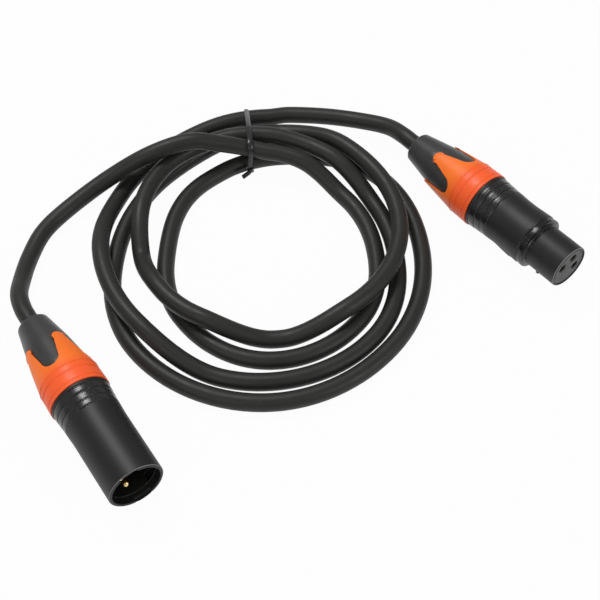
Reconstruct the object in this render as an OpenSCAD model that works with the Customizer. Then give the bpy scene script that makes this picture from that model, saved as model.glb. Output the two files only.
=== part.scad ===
// Coiled microphone cable with a three-pin male connector at one end and a
// three-socket female connector at the other, held by a wire twist tie.
// Each connector is modelled along its own +Z, with its mating face at z = 0,
// and its gland (bushing, boot and chuck) behind the rear edge of its shell.

/* [Cable] */
// Diameter of the cable jacket
cord_d = 6.2; // [5.8:0.1:6.4]
// Diameter of one insulated conductor
conductor_d = 1.4; // [1.0:0.1:1.6]
// Number of loops in the coil
loops = 4; // [4]
// Rings of the swept tube in each loop
rings_per_loop = 24; // [16:1:32]
// Sides of the swept tube
cord_sides = 8; // [6:1:12]
// Rise of a loop where it passes over another
crossing_rise = 7; // [6.8:0.1:8]

/* [Shells] */
// Outer diameter of both shells
shell_d = 19; // [18.8:0.1:19.6]
// Length of the male shell
male_len = 37.2; // [36:0.1:42]
// Length of the female shell, nose included
female_len = 39.9; // [38.5:0.1:43]
// Bore of the male cup, also the seat bore of both shells
cup_d = 16.2; // [16:0.1:16.4]
// Outer diameter of the female nose
nose_d = 16; // [15.7:0.05:16.1]
// Length of the female nose
nose_len = 12.9; // [12.5:0.1:13.5]
// Wall of the female nose
nose_wall = 0.8; // [0.6:0.1:1]
// Diameter of both shells at the bushing, where they flare
flare_d = 20.6; // [20.2:0.1:20.9]
// Length of the shells' flare
flare_len = 14; // [12:0.5:16]
// Diameter of the female shell's shoulder
shoulder_d = 19.8; // [19.4:0.1:20]
// Width of the grooves beside the grip ribs
groove_w = 0.4; // [0.3:0.1:0.8]
// Depth of the grooves beside the grip ribs
groove_depth = 0.25; // [0.15:0.05:0.4]
// Width of a grip rib
rib_w = 2.2; // [1.8:0.1:2.4]
// Bore of the short land at the male mouth
mouth_d = 16.6; // [16.6:0.1:16.9]
// Start of the mouth's land behind the rim
mouth_land_at = 0.3; // [0.2:0.1:0.5]
// Length of the mouth's land
mouth_land_len = 2.7; // [2.2:0.1:3]
// End of the nose's plain land behind its face
nose_land_end = 6.2; // [5.8:0.1:6.6]

/* [Contacts] */
// Diameter of the male contact pins
pin_d = 2.35; // [2.2:0.05:2.5]
// Diameter of the male contacts' shanks, inside the insert
shank_d = 2.9; // [2.8:0.05:3.2]
// Radius of the circle that the three contacts stand on
contact_ring_r = 3.8; // [3.7:0.05:3.9]
// Distance from the male mouth to the pin tips
pin_recess = 3.5; // [3:0.1:4.5]
// Bore of the female sockets
socket_bore_d = 2.4; // [2.3:0.05:2.6]
// Outer diameter of the female sockets
socket_d = 3.6; // [3.4:0.1:3.8]
// Depth of the female sockets' bore
socket_depth = 11; // [10:0.5:12]

/* [Gland] */
// Diameter of the bushing's ring at the shell
ring_d = 21.2; // [21:0.1:22]
// Length of the bushing's ring
ring_len = 8; // [7:0.5:9]
// Length of the petals behind the ring
petal_len = 15.2; // [13:0.2:16]
// Outer diameter across the petal tips
petal_tip_d = 16.6; // [16:0.1:17.2]
// Number of petals
petals = 4; // [4]
// Wall of the petals
petal_wall = 1.5; // [1.2:0.1:1.8]
// Radius of the rounded valley between two petals
valley_r = 3.2; // [2.8:0.1:3.4]
// Radius of a petal's rounded tip
tip_r = 2.3; // [2:0.1:2.5]
// Length of the gland behind the shell, boot included
gland_len = 34.8; // [33:0.1:36]
// Diameter of the boot at its mouth
boot_mouth_d = 11.2; // [10.6:0.1:11.6]
// Length of the threaded sleeve inside the shell
thread_len = 8; // [7:0.5:8]
// Outer diameter of the chuck
chuck_d = 13; // [12.6:0.1:13.2]

/* [Latch] */
// Width of the latch button
button_w = 7.8; // [7:0.1:8.2]
// Height of the button's crest over the shell
button_proud = 0.55; // [0.4:0.05:0.6]
// Height of the catch over the nose
catch_proud = 0.6; // [0.4:0.05:0.7]
// Width of the latch arm and its catch
arm_w = 3.8; // [3.4:0.1:4.2]
// Diameter of the latch's pivot pin
pivot_d = 1.2; // [1:0.05:1.4]

/* [Twist tie] */
// Width of the flat tie
tie_w = 1.9; // [1.6:0.1:2.2]
// Thickness of the flat tie
tie_thick = 0.8; // [0.6:0.1:0.9]

/* [Hidden] */

$fn = 64;

// Clearances: between pieces that only lie together, between pieces that turn,
// and between flat faces that turn past each other.
seat_gap = 0.05;
running_gap = 0.06;
face_gap = 0.15;
// Overlap of one cut past the face that it opens
cut = 0.01;

// Radii of the driving diameters.
cord_r = cord_d / 2;
conductor_r = conductor_d / 2;
shell_r = shell_d / 2;
cup_r = cup_d / 2;
mouth_r = mouth_d / 2;
nose_r = nose_d / 2;
nose_bore_r = nose_r - nose_wall;
pin_r = pin_d / 2;
shank_r = shank_d / 2;
socket_r = socket_d / 2;
ring_r = ring_d / 2;
chuck_r = chuck_d / 2;

// Where the connectors lie: the middle of the mating face, and the heading of
// the axis in plan. Both rest on the rings of their bushings.
male_place = [-52.5, -80.7];
male_heading = -57.3;
female_place = [89.5, 4.1];
female_heading = -49;
axis_z = ring_r;

// Turn of each feature round its own axis, from straight down.
male_roll = 240;
male_notch_roll = 192;
male_petal_roll = 243;
female_latch_roll = 333;
female_petal_roll = 204;

// Layout along the male axis, as distances behind the mouth.
cup_depth = nose_len + 0.5;
stop_front = cup_depth + 0.5;
stop_back = stop_front + 1;
stop_r = cup_r - 0.7;
male_skirt_back = male_len - thread_len - face_gap;
female_skirt_back = female_len - thread_len - face_gap;
cup_room = 1.35;
skirt_r = chuck_r - 0.9;
solder_cup_r = 1.5;
solder_cup_len = 6;
male_cup_back = male_skirt_back - cup_room;
male_plate_back = male_cup_back - solder_cup_len;
female_plate_back = female_skirt_back - 6.95;
solder_bore_r = conductor_r + 0.2;

// Layout of the gland, as distances behind the rear edge of the shell.
sleeve_r = cup_r - running_gap;
sleeve_bore_r = chuck_r + running_gap;
chuck_cone_start = 1;
chuck_cone_end = 7;
chuck_tail_r = 4.6;
web_end = ring_len + 0.4;
petal_tip = ring_len + petal_len;
ring_back_r = ring_r - 0.2;
boot_proud_gap = 0.5;
boot_mouth_r = boot_mouth_d / 2;
jacket_front = -5;

// Layout of the latch, as distances behind the female face.
catch_front = 7.2;
catch_back = 9.2;
button_front = 16.7;
button_crest = 20.4;
pivot_at = female_skirt_back - 1.75;
button_back = pivot_at - 1.7;
pivot_up = 6.4;
arm_top = nose_bore_r - 0.55;
arm_thick = 1.1;
arm_under = arm_top - arm_thick;
latch_gap = 0.4;
latch_swing = 4;
pivot_half = 4.1;

// The coil: the cord's distance from the hub at each eighth of a turn, from the
// tie round by the left, the front and the right, for each loop in turn.
coil_hub = [-14.4, 18.7];
eighths = 8;
coil_reach = [63, 60, 58, 56.5, 56.5, 53, 45, 43.5,
              47, 49.5, 44.5, 42, 39.5, 42, 46.5, 50,
              54.5, 50.5, 52.5, 61.5, 64.5, 60, 54.5, 52,
              42, 38, 35, 41.5, 48, 45, 38, 36.5,
              38.5];
// Where the cord passes over another loop: middle and half length, in turns.
crossings = [[0.32, 0.04], [1.06, 0.14], [1.375, 0.035], [1.765, 0.145], [4, 0.04]];
crossing_ramp = 0.1;
// The tie's place in each turn, and how far the bundle rides up on its wire.
tie_turn = 0.02;
tie_rise = tie_thick + 0.3;
tie_half = 0.015;
tie_ramp = 0.06;

// Points that the two free ends of the cable run through.
female_route = [[30.1, 72.7, 8.3], [18.6, 78.7, 5.6], [5.6, 81.7, 4.7]];
male_route = [[-30.9, 57.9, 14.7], [-42.4, 56.5, 17.6], [-56.4, 52.5, 15.3],
              [-71.4, 47, 8.8], [-85.9, 36.7, 3.9], [-93.9, 26.2, 3.2],
              [-97.4, 14.7, 3.5], [-98.5, 2.9, 5.6], [-97.8, -6.8, 9]];
tail_steps = 3;

// ---------------------------------------------------------------- functions

// How far the latch moves in, fully pressed, at a distance behind the face.
function latch_drop(back) = (pivot_at - back) * sin(latch_swing);

function unit(v) = v / norm(v);

// Plain smooth step from 0 to 1.
function ease(t) = let (c = min(max(t, 0), 1)) c * c * (3 - 2 * c);

// A bump of height 1: flat for `half` either side of `middle`, eased over `ramp`.
function bump(u, middle, half, ramp) =
    min(ease((u - middle + half + ramp) / ramp), ease((middle + half + ramp - u) / ramp));

// Smooth curve through four neighbours, at t from the second to the third.
function through(a, b, c, d, t) =
    b + 0.5 * t * (c - a + t * (2 * a - 5 * b + 4 * c - d + t * (3 * (b - c) + d - a)));

function clamp_index(i, list) = min(max(i, 0), len(list) - 1);

// Distance from the hub after u turns.
function reach_at(u) =
    let (k = min(floor(u * eighths), len(coil_reach) - 2), t = u * eighths - k)
    through(coil_reach[clamp_index(k - 1, coil_reach)], coil_reach[k], coil_reach[k + 1],
            coil_reach[clamp_index(k + 2, coil_reach)], t);

// Height of the cord's middle after u turns.
function height_at(u) =
    cord_r
    + crossing_rise * max([for (c = crossings) bump(u, c[0], c[1], crossing_ramp)])
    + tie_rise * max([for (k = [0 : loops]) bump(u, k + tie_turn, tie_half, tie_ramp)]);

// Point on the cord's middle after u turns.
function coil_at(u) =
    let (a = 90 + 360 * u, r = reach_at(u))
    [coil_hub[0] + r * cos(a), coil_hub[1] + r * sin(a), height_at(u)];

// Direction of a heading in plan.
function along(heading) = [cos(heading), sin(heading), 0];

// A point on a connector's axis, at a distance behind its mating face.
function on_axis(place, heading, back) =
    [place[0], place[1], axis_z] - back * along(heading);

// Smooth curve through a list of points, with `steps` steps between two points.
// The first and the last point only steer the ends.
function smooth_route(p, steps) =
    [for (i = [1 : len(p) - 3], j = [0 : steps - 1])
         through(p[i - 1], p[i], p[i + 1], p[i + 2], j / steps),
     p[len(p) - 2]];

// A free end: straight for one diameter out of each neighbour, smooth between.
function tail_points(from, from_dir, route, to, to_dir) =
    let (a = from + cord_d * from_dir, b = to + cord_d * to_dir)
    concat([from], smooth_route(concat([from, a], route, [b, to]), tail_steps), [to]);

coil_points = [for (i = [0 : loops * rings_per_loop]) coil_at(i / rings_per_loop)];
coil_last = len(coil_points) - 1;

female_tail_points =
    tail_points(on_axis(female_place, female_heading, female_len + gland_len),
                -along(female_heading), female_route, coil_points[0],
                unit(coil_points[0] - coil_points[1]));
male_tail_points =
    tail_points(coil_points[coil_last],
                unit(coil_points[coil_last] - coil_points[coil_last - 1]), male_route,
                on_axis(male_place, male_heading, male_len + gland_len),
                -along(male_heading));

// Direction of the route at point i: across its neighbours, or along its end.
function heading_at(p, i) =
    i == 0 ? unit(p[1] - p[0])
    : i == len(p) - 1 ? unit(p[i] - p[i - 1])
    : unit(unit(p[i] - p[i - 1]) + unit(p[i + 1] - p[i]));

// One ring of the swept tube, with a corner straight below its middle.
function ring_at(p, i, r, sides) =
    let (t = heading_at(p, i), side = unit(cross([0, 0, 1], t)), up = cross(t, side))
    [for (k = [0 : sides - 1])
         let (a = -90 + 360 * k / sides) p[i] + r * (cos(a) * side + sin(a) * up)];

// Least distance between two stretches of a route that are not neighbours,
// less the tube's diameter, measured on points along its straight pieces.
function fine_points(p, n) =
    [for (i = [0 : len(p) - 2], j = [0 : n - 1]) p[i] + (p[i + 1] - p[i]) * j / n];
function least_gap(p, skip, d) =
    min([for (i = [0 : len(p) - 1 - skip])
             min([for (j = [i + skip : len(p) - 1]) norm(p[i] - p[j])])]) - d;

whole_route = concat(female_tail_points,
                     [for (i = [1 : coil_last - 1]) coil_points[i]], male_tail_points);
gap_points_per_ring = 3;
gap_skip = 14;
function route_length(p) =
    [for (i = [0 : len(p) - 2]) norm(p[i + 1] - p[i])] * [for (i = [0 : len(p) - 2]) 1];

echo(least_gap_of_cord = least_gap(fine_points(whole_route, gap_points_per_ring),
                                   gap_skip, cord_d));
echo(length_of_cord = route_length(whole_route));

// ---------------------------------------------------------------- helpers

// A tube swept along a route.
module swept(p, r, sides) {
    n = len(p);
    swept_skin([for (i = [0 : n - 1]) each ring_at(p, i, r, sides)], n, sides);
}

// Side direction of a wire's ring at point i: the one before it, laid square to
// the wire, and at the start square to `flat`, so that the wire may stand upright.
function carried_side(p, i, flat) =
    let (t = heading_at(p, i))
    i == 0 ? unit(cross(t, flat))
    : let (s = carried_side(p, i - 1, flat)) unit(s - (s * t) * t);

// A wire of width 2 * rw and thickness 2 * rt swept along a route.
module swept_wire(p, rw, rt, sides, flat) {
    n = len(p);
    points = [for (i = [0 : n - 1])
                  let (t = heading_at(p, i), s = carried_side(p, i, flat), u = cross(t, s))
                  each [for (k = [0 : sides - 1])
                            let (a = 360 * (k + 0.5) / sides)
                            p[i] + rw * cos(a) * s + rt * sin(a) * u]];
    swept_skin(points, n, sides);
}

// Skin over n rings of points.
module swept_skin(points, n, sides) {
    walls = [for (i = [0 : n - 2], k = [0 : sides - 1])
                 let (a = i * sides + k, b = i * sides + (k + 1) % sides)
                 each [[a, a + sides, b], [b, a + sides, b + sides]]];
    caps = [for (k = [1 : sides - 2])
                each [[0, k, k + 1],
                      [(n - 1) * sides, (n - 1) * sides + k + 1, (n - 1) * sides + k]]];
    polyhedron(points = points, faces = concat(walls, caps), convexity = 10);
}

// Children in the frame of a connector whose mating face is at `place`.
module at_connector(place, heading) {
    translate([place[0], place[1], axis_z])
        rotate([0, 90, heading])
            children();
}

module at_male() {
    at_connector(male_place, male_heading) children();
}

module at_female() {
    at_connector(female_place, female_heading) children();
}

// A ring-shaped or solid turned piece from `front` to `back` behind the face.
module turned(r, front, back) {
    translate([0, 0, -back]) cylinder(r = r, h = back - front);
}

// A turned cone: radius r1 at `front`, r2 at `back`.
module turned_cone(r1, r2, front, back) {
    translate([0, 0, -back]) cylinder(r1 = r2, r2 = r1, h = back - front);
}

// A turned piece from its outline, listed as [radius, distance behind the face].
module turned_profile(outline) {
    rotate_extrude() polygon([for (p = outline) [p[0], -p[1]]]);
}

// A groove cut round a turned piece of radius r, at `at` behind the face.
module ring_groove(r, at, width, depth) {
    difference() {
        turned(r + 1, at, at + width);
        turned(r - depth, at - 1, at + width + 1);
    }
}

// A block that points outward at angle `roll`: `w` wide, from r1 to r2 from the
// axis, and from `front` to `back` behind the face.
module radial_block(roll, w, r1, r2, front, back) {
    rotate([0, 0, roll])
        translate([r1, -w / 2, -back])
            cube([r2 - r1, w, back - front]);
}

// An outline drawn as [distance behind the face, width], pushed outward.
module radial_prism(roll, r1, r2) {
    rotate([0, 0, roll])
        translate([r1, 0, 0])
            rotate([0, 90, 0])
                linear_extrude(height = r2 - r1)
                    children();
}

// Space for a mated nose: distance off the axis, and side of its box.
cup_box_r = 3.4;
cup_box = 4.4;

// Angle of contact n (1, 2, 3) from straight down; the third stands at `roll`.
function contact_angle(roll, n) = roll + (n == 3 ? 0 : n == 1 ? 90 : -90);

module at_contact(roll, n) {
    a = contact_angle(roll, n);
    translate([contact_ring_r * cos(a), contact_ring_r * sin(a), 0]) children();
}

// ---------------------------------------------------------------- contacts

// One male contact: a pin with a round tip, a thicker shank whose shoulder lies
// flush in the insert's face, and a solder cup.
module male_pin(n) {
    cup_front = male_plate_back;
    color("gold")
        at_male()
            at_contact(male_roll, n) {
                translate([0, 0, -pin_recess - pin_r]) sphere(r = pin_r);
                turned(pin_r, pin_recess + pin_r, cup_depth + cut);
                turned(shank_r, cup_depth, cup_front + cut);
                solder_cup(cup_front);
            }
}

// The open cup that a conductor is soldered into, cut away on its outer half.
module solder_cup(front) {
    floor_len = 1.5;
    difference() {
        turned(solder_cup_r, front, front + solder_cup_len);
        turned(solder_bore_r, front + floor_len, front + solder_cup_len + 1);
        translate([0, -solder_cup_r - 1, -front - solder_cup_len - 1])
            cube([solder_cup_r + 1, 2 * solder_cup_r + 2, solder_cup_len - 2]);
    }
}

// One female socket: a split sleeve with a solder cup behind it.
module female_socket(n) {
    color("gold")
        at_female()
            at_contact(female_latch_roll + 180, n)
                difference() {
                    union() {
                        turned(socket_r, socket_front, socket_back);
                        solder_cup(socket_back - cut);
                    }
                    turned(socket_bore_d / 2, socket_front - 1, socket_front + socket_depth);
                }
}

socket_front = 1.4;
socket_back = female_plate_back - 0.5 - solder_cup_len;

// ---------------------------------------------------------------- inserts

// The male insert: a boss through the shell's stop, a solid plate that holds the
// pins and a skirt that the chuck presses on.
module male_insert() {
    plate_back = male_plate_back;
    skirt_back = male_skirt_back;
    color("dimgray")
        at_male()
            difference() {
                union() {
                    turned(stop_r - seat_gap, cup_depth, stop_back + cut);
                    turned(cup_r - seat_gap, stop_back, skirt_back);
                }
                turned(skirt_r, plate_back, skirt_back + 1);
                for (n = [1 : 3])
                    at_contact(male_roll, n)
                        turned(shank_r + cut, 0, plate_back + 1);
            }
}

// The female insert: fills the nose, carries the sockets, and leaves a channel
// for the latch with two holes for its pivot pin.
module female_insert() {
    face = 0.3;
    stop = nose_len + 2;
    plate_back = female_plate_back;
    skirt_back = female_skirt_back;
    channel_floor = arm_under - latch_drop(catch_front) - latch_gap;
    pad_floor = arm_under - latch_drop(button_front) - latch_gap;
    mouth_r = socket_bore_d / 2 + 0.25;
    mouth_chamfer = 0.35;
    color("dimgray")
        at_female()
            difference() {
                union() {
                    turned(nose_bore_r - seat_gap, face, stop + cut);
                    turned(cup_r - seat_gap, stop, skirt_back);
                }
                turned(skirt_r, plate_back, skirt_back + 1);
                for (n = [1 : 3])
                    at_contact(female_latch_roll + 180, n) {
                        turned(mouth_r, face - 1, socket_front + cut);
                        turned_cone(mouth_r + mouth_chamfer, mouth_r, face - cut,
                                    face + mouth_chamfer);
                        turned(socket_r + cut, socket_front, plate_back + 1);
                    }
                radial_block(female_latch_roll, arm_w + 2 * latch_gap, channel_floor,
                             cup_r + 1, catch_front - 0.6, skirt_back + 1);
                radial_block(female_latch_roll, button_w + 2 * latch_gap, pad_floor,
                             cup_r + 1, button_front - 0.8, button_back + 0.8);
                at_pivot()
                    cylinder(r = pivot_d / 2 + cut, h = 2 * (pivot_half + seat_gap),
                             center = true);
            }
}

// ---------------------------------------------------------------- shells

// The flare of both shells towards the bushing, in two tapers: the first rises
// by `flare_share` of the whole.
flare_r = flare_d / 2;
flare_steep = 6;
flare_share = 0.42;
flare_mid_r = shell_r + flare_share * (flare_r - shell_r);

// Radius of the flare at a distance ahead of the shell's rear edge.
function flare_at(x) =
    x < flare_steep ? flare_r + (flare_mid_r - flare_r) * x / flare_steep
    : max(shell_r, flare_mid_r + (shell_r - flare_mid_r) * (x - flare_steep)
                   / (flare_len - flare_steep));

module flare(len) {
    turned_cone(shell_r - 0.05, flare_mid_r, len - flare_len, len - flare_steep);
    turned_cone(flare_mid_r, flare_r, len - flare_steep, len);
}

// Three flat grip ribs just ahead of the bushing, between four fine grooves.
module grip_grooves(len) {
    for (k = [0 : 3])
        let (ahead = 1 + groove_w + k * (rib_w + groove_w))
            ring_groove(flare_at(ahead - groove_w / 2), len - ahead, groove_w,
                        groove_depth);
}

// The male shell: cup, stop for the insert, threaded rear bore, two lead-in
// notches in the rim and a pocket inside for the mating catch.
module male_shell() {
    rim = 0.5;
    notch_w = 6;
    notch_depth = 0.7;
    notch_len = 1.2;
    pocket_w = 6;
    pocket_depth = 0.7;
    color([0.14, 0.14, 0.14])
        at_male()
            difference() {
                union() {
                    turned_cone(shell_r - rim, shell_r, 0, rim);
                    turned(shell_r, rim, male_len);
                    flare(male_len);
                }
                turned(cup_r, -1, stop_front);
                turned(stop_r, stop_front - cut, stop_back + cut);
                turned(cup_r, stop_back, male_len + 1);
                turned_cone(mouth_r + rim / 2, mouth_r, -cut, mouth_land_at);
                turned(mouth_r, mouth_land_at - cut, mouth_land_at + mouth_land_len);
                for (turn = [0, 180])
                    radial_block(male_notch_roll + turn, notch_w, cup_r - 1,
                                 cup_r + notch_depth, -1, notch_len);
                radial_block(male_roll + 180, pocket_w, cup_r - 1, cup_r + pocket_depth,
                             nose_len - catch_back - latch_gap,
                             nose_len - catch_front + latch_gap);
                grip_grooves(male_len);
            }
}

// The female shell: nose, stepped shoulder and body in one casting, with a slot
// for the catch and a window for the button.
module female_shell() {
    edge = 0.4;
    nose_draft = 0.08;
    step_r = nose_r + 0.7;
    shoulder_r = shoulder_d / 2;
    collar_r = shoulder_r - 0.15;
    valley_floor_r = shoulder_r - 0.6;
    shoulder = nose_len + 3.1;
    waist = shoulder + 8;
    color([0.14, 0.14, 0.14])
        at_female()
            difference() {
                union() {
                    turned_cone(nose_r - edge, nose_r, 0, edge);
                    turned(nose_r, edge, nose_land_end);
                    turned_cone(nose_r, nose_r - nose_draft, nose_land_end,
                                nose_len + cut);
                    turned(step_r, nose_len, nose_len + 0.9);
                    turned(collar_r, nose_len + 0.9, nose_len + 2.2);
                    turned(valley_floor_r, nose_len + 2.2 - cut, shoulder + cut);
                    turned_cone(shoulder_r - edge, shoulder_r, shoulder,
                                shoulder + edge);
                    turned_cone(shoulder_r, shell_r - 0.05, shoulder + edge, waist);
                    turned(shell_r, shoulder + edge, female_len);
                    flare(female_len);
                }
                turned(nose_bore_r, -1, nose_len + 2 + cut);
                turned(cup_r, nose_len + 2, female_len + 1);
                radial_block(female_latch_roll, arm_w + 2 * latch_gap, nose_bore_r - 1,
                             nose_r + 1, catch_front - 0.6, catch_back + latch_gap);
                radial_block(female_latch_roll, button_w + 0.6, nose_bore_r - 1,
                             shell_r + 1, button_front - 0.5, button_back + 0.3);
                grip_grooves(female_len);
            }
}

// ---------------------------------------------------------------- latch

// Children in the frame of the latch's pivot, with the pin along their z axis.
module at_pivot() {
    rotate([0, 0, female_latch_roll])
        translate([pivot_up, 0, -pivot_at])
            rotate([90, 0, 0])
                children();
}

// The push latch: an arm on a pivot, a button pad over it and a catch at its end.
// Beside its hub the arm is narrower, to leave room for the spring.
module female_latch() {
    hub_r = 1.25;
    spring_side = spring_first - spring_wire_r - 0.1;
    spring_clear = spring_r + spring_wire_r + 0.25;
    arm_front = catch_front + 0.1;
    crest_r = shell_r + button_proud;
    color([0.2, 0.2, 0.2])
        at_female()
            difference() {
                union() {
                    radial_block(female_latch_roll, arm_w, arm_under, arm_top,
                                 arm_front, pivot_at - hub_r + 0.4);
                    at_pivot()
                        translate([0, 0, -arm_w / 2])
                            cylinder(r = hub_r, h = arm_w / 2 + spring_side);
                    latch_button(arm_under, crest_r);
                    latch_catch();
                }
                at_pivot() {
                    cylinder(r = pivot_d / 2 + running_gap, h = 2 * arm_w, center = true);
                    translate([-5, -spring_clear, spring_side])
                        cube([10, 2 * spring_clear, arm_w]);
                }
            }
}

// The button pad, which follows the shell's round and ramps up to its crest.
module latch_button(pad_floor, crest_r) {
    intersection() {
        radial_block(female_latch_roll, button_w, pad_floor, crest_r + 1, button_front,
                     button_back);
        union() {
            turned_cone(shell_r - 0.1, crest_r, button_front, button_crest);
            turned_cone(crest_r, shell_r, button_crest - cut, button_back);
        }
    }
}

// The catch: ramped at the front, square at the back.
module latch_catch() {
    top = nose_r + catch_proud;
    rotate([0, 0, female_latch_roll])
        translate([0, arm_w / 2, 0])
            rotate([90, 0, 0])
                linear_extrude(height = arm_w)
                    polygon([[arm_top - arm_thick / 2, -catch_front - 0.1],
                             [nose_bore_r, -catch_front - 0.1],
                             [top, -catch_front - 1],
                             [top, -catch_back],
                             [arm_top - arm_thick / 2, -catch_back]]);
}

module female_latch_pin() {
    color("silver")
        at_female()
            at_pivot()
                cylinder(r = pivot_d / 2, h = 2 * pivot_half, center = true);
}

// A torsion spring beside the latch's hub: two turns and a quarter round the pivot
// pin, one leg forward under the arm and one leg out to the shell's bore.
spring_wire_r = 0.18;
spring_r = 0.95;
spring_turns = 2.25;
spring_steps = 10;
spring_first = 1;
spring_pitch = 0.42;
spring_gap = 0.1;
module female_latch_spring() {
    leg = 4.2;
    under = pivot_up - arm_under + spring_wire_r + spring_gap;
    last = spring_first + spring_pitch * spring_turns;
    seat = sqrt(pow(cup_r, 2) - pow(last + spring_wire_r, 2)) - pivot_up;
    // In the pivot's frame x points outward and y along the axis to the face.
    turns = [for (k = [1 : spring_turns * spring_steps])
                 let (a = 180 + 360 * k / spring_steps)
                 [spring_r * cos(a), spring_r * sin(a),
                  spring_first + spring_pitch * k / spring_steps]];
    route = concat([[-under, leg, spring_first], [-under, 1.2, spring_first],
                    [-spring_r, 0.3, spring_first]],
                   turns,
                   [[0.3, -spring_r - 0.05, last], [seat - 0.25, -spring_r - 0.1, last]]);
    color("silver")
        at_female()
            at_pivot()
                swept_wire(route, spring_wire_r, spring_wire_r, 6, [0, 0, 1]);
}

// ---------------------------------------------------------------- gland

// Turn of the first petal from the seam of the turned surfaces.
petal_seam = 24;

// Children in the frame of a gland, whose z = 0 is the rear edge of the shell.
module at_male_gland() {
    at_male() translate([0, 0, -male_len]) children();
}

module at_female_gland() {
    at_female() translate([0, 0, -female_len]) children();
}

// Half width of the gap beside a petal of half width p, and of a petal beside a gap
// of half width w, at a distance behind the shell.
function beside(x, half) =
    let (r = petal_outer(x)) r * sin(180 / petals - asin(half / r));

// The valley's middle, the tip's middle, and where the sides run into the tip.
valley_at = ring_len + 2.8 + valley_r;
tip_at = petal_tip - tip_r;
side_lean = atan((beside(valley_at, valley_r) - tip_r) / (tip_at - valley_at));
side_end = tip_at - tip_r * sin(side_lean);

// Outline of the gap between two petals: a round valley, then straight sides that
// flare backward to the petals' tips.
module petal_gap(shrink) {
    w = valley_r - shrink;
    end_w = beside(side_end, tip_r * cos(side_lean)) - shrink;
    past_w = beside(tip_at, tip_r + 0.06) - shrink;
    flare = atan((end_w - w) / (side_end - valley_at));
    start_x = valley_at - w * sin(flare);
    start_w = w * cos(flare) - 0.02;
    translate([valley_at, 0]) circle(r = w);
    polygon([[start_x, -start_w], [start_x, start_w], [side_end, end_w],
             [tip_at, past_w], [petal_tip + 3, past_w - 0.3],
             [petal_tip + 3, 0.3 - past_w], [tip_at, -past_w], [side_end, -end_w]]);
}

// Outline of what is cut from a petal's end to round its tip.
module petal_tip_cut(grow) {
    difference() {
        translate([side_end, -tip_r - 1])
            square([petal_tip - side_end + 3, 2 * (tip_r + 1)]);
        translate([tip_at, 0]) circle(r = tip_r + grow);
    }
}

// All the gaps and tip cuts of one gland as solids, round its axis.
module petal_cuts(roll, clear) {
    for (k = [0 : petals - 1]) {
        radial_prism(roll + 360 * (k + 0.5) / petals, 2, ring_r + 2) petal_gap(clear);
        radial_prism(roll + 360 * k / petals, 2, ring_r + 2) petal_tip_cut(clear);
    }
}

// Outer and inner radius of the petals at a distance behind the shell.
function petal_outer(x) =
    ring_back_r + (petal_tip_d / 2 - ring_back_r) * (x - ring_len) / petal_len;
function petal_inner(x) = petal_outer(x) - petal_wall;

// The bushing: threaded sleeve, ring with two fine lines, inner cone that closes
// the chuck, and the petals over the boot.
module bushing() {
    line_w = 0.35;
    line_depth = 0.2;
    lead = 0.5;
    tip_x = petal_tip;
    difference() {
        union() {
            turned_cone(sleeve_r - lead, sleeve_r, -thread_len, lead - thread_len);
            turned(sleeve_r, lead - thread_len, face_gap + cut);
            turned_cone(ring_r, ring_back_r, face_gap, ring_len);
            turned_cone(ring_back_r, petal_outer(tip_x), ring_len - cut, tip_x);
        }
        turned(sleeve_bore_r, -thread_len - 1, chuck_cone_start);
        turned_cone(sleeve_bore_r, chuck_tail_r + running_gap, chuck_cone_start - cut,
                    chuck_cone_end);
        turned(chuck_tail_r + running_gap, chuck_cone_end - cut, web_end + 1);
        turned_cone(petal_inner(web_end), petal_inner(tip_x + 1), web_end, tip_x + 1);
        for (at = [1.4, 5.3])
            ring_groove(ring_r - (ring_r - ring_back_r) * at / ring_len, at, line_w,
                        line_depth);
        petal_cuts(petal_seam, 0);
    }
}

// The rubber boot: a plug under the petals, tongues between them and a sleeve
// that tapers to the cable.
module boot() {
    plug_gap = 0.08;
    front = web_end + plug_gap;
    edge = 0.6;
    cheek = petal_outer(petal_tip) - boot_proud_gap;
    bore_r = cord_r + running_gap + seat_gap;
    difference() {
        turned_profile([[bore_r, front], [petal_outer(front) - boot_proud_gap, front],
                        [cheek, petal_tip], [boot_mouth_r, gland_len - edge],
                        [boot_mouth_r - edge, gland_len], [bore_r, gland_len]]);
        difference() {
            turned_profile([[petal_inner(front - 2) - plug_gap, front - 2],
                            [ring_r + 1, front - 2], [ring_r + 1, petal_tip + 1],
                            [petal_inner(petal_tip + 1) - plug_gap, petal_tip + 1]]);
            petal_cuts(petal_seam, plug_gap);
        }
    }
}

// The chuck: a collet of four jaws with teeth that grip the jacket.
module chuck() {
    slit_w = 1;
    slit_from = -2;
    tooth_pitch = 2.4;
    tooth_w = 0.9;
    front = -thread_len - face_gap;
    difference() {
        union() {
            turned(chuck_r, front, chuck_cone_start);
            turned_cone(chuck_r, chuck_tail_r, chuck_cone_start - cut, chuck_cone_end);
        }
        turned(cord_r + seat_gap, front - 1, chuck_cone_end + 1);
        for (k = [0 : 2])
            turned(cord_r + 0.6, k * tooth_pitch - 1,
                   (k + 1) * tooth_pitch - 1 - tooth_w);
        turned_cone(chuck_r - 1, cord_r, front - cut, jacket_front + 1);
        for (turn = [0, 90])
            rotate([0, 0, turn])
                translate([-chuck_r - 1, -slit_w / 2, -chuck_cone_end - 1])
                    cube([2 * chuck_r + 2, slit_w, chuck_cone_end + 1 - slit_from]);
    }
}

// The end of the jacket, from inside the chuck to the mouth of the boot.
module jacket_end() {
    turned(cord_r, jacket_front, gland_len);
}

conductor_sides = 12;

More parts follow.
